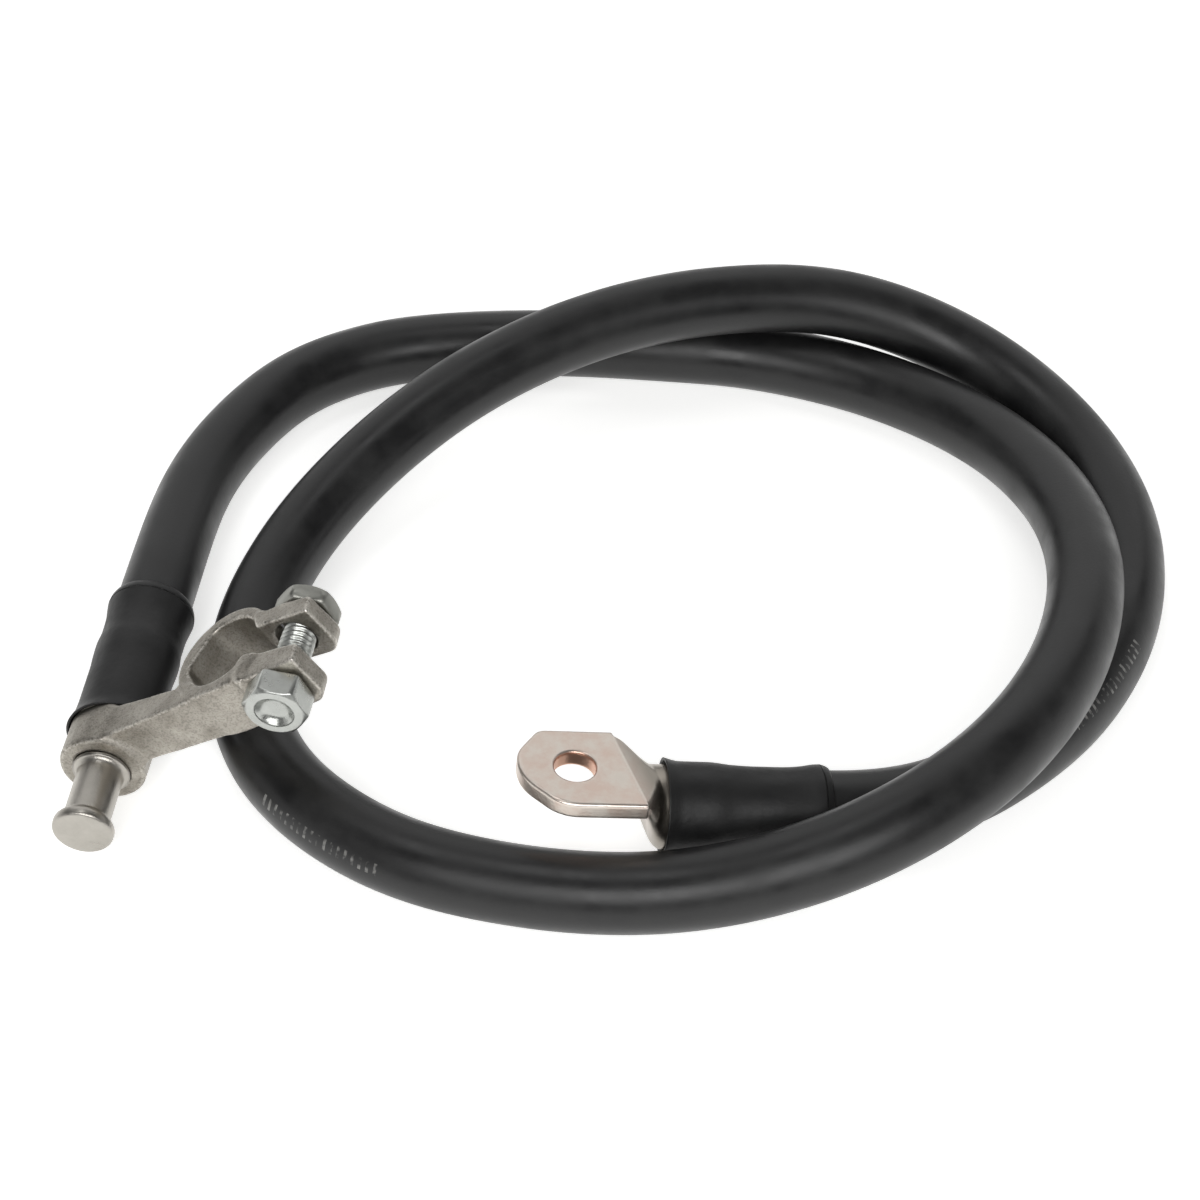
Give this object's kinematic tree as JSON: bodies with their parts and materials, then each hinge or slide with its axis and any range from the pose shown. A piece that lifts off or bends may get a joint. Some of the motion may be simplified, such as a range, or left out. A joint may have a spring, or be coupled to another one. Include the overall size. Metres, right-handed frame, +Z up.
{
  "type": "ground cable",
  "caption": "Thick black battery ground cable coiled on a level floor, with a cast battery-post clamp and side stud at one end and a tinned ring lug at the other.",
  "frame": {"origin": "middle of the box round the two terminals, on the level floor that the cable lies on", "axes": "+Z up from the floor, +X from the clamp's end towards the lug's sleeve, +Y away from the stud's head"},
  "size_m": [0.2414, 0.1924, 0.0485],
  "materials": {
    "cable_rubber": "satin black with faint mottling",
    "cast_clamp": "satin cast, fine grain, worn bright edges",
    "turned_stud": "turned satin",
    "zinc_fastener": "bright zinc plate",
    "shrink_sleeve": "matte black",
    "tinned_lug": "satin tin plate over copper"
  },
  "bodies": {
    "root": {"cable": "cable_rubber", "terminal_clamp": "cast_clamp", "contact_stud": "turned_stud", "clamp_bolt": "zinc_fastener", "clamp_nut": "zinc_fastener", "clamp_sleeve": "shrink_sleeve", "cable_lug": "tinned_lug", "lug_sleeve": "shrink_sleeve"}
  },
  "joints": []
}
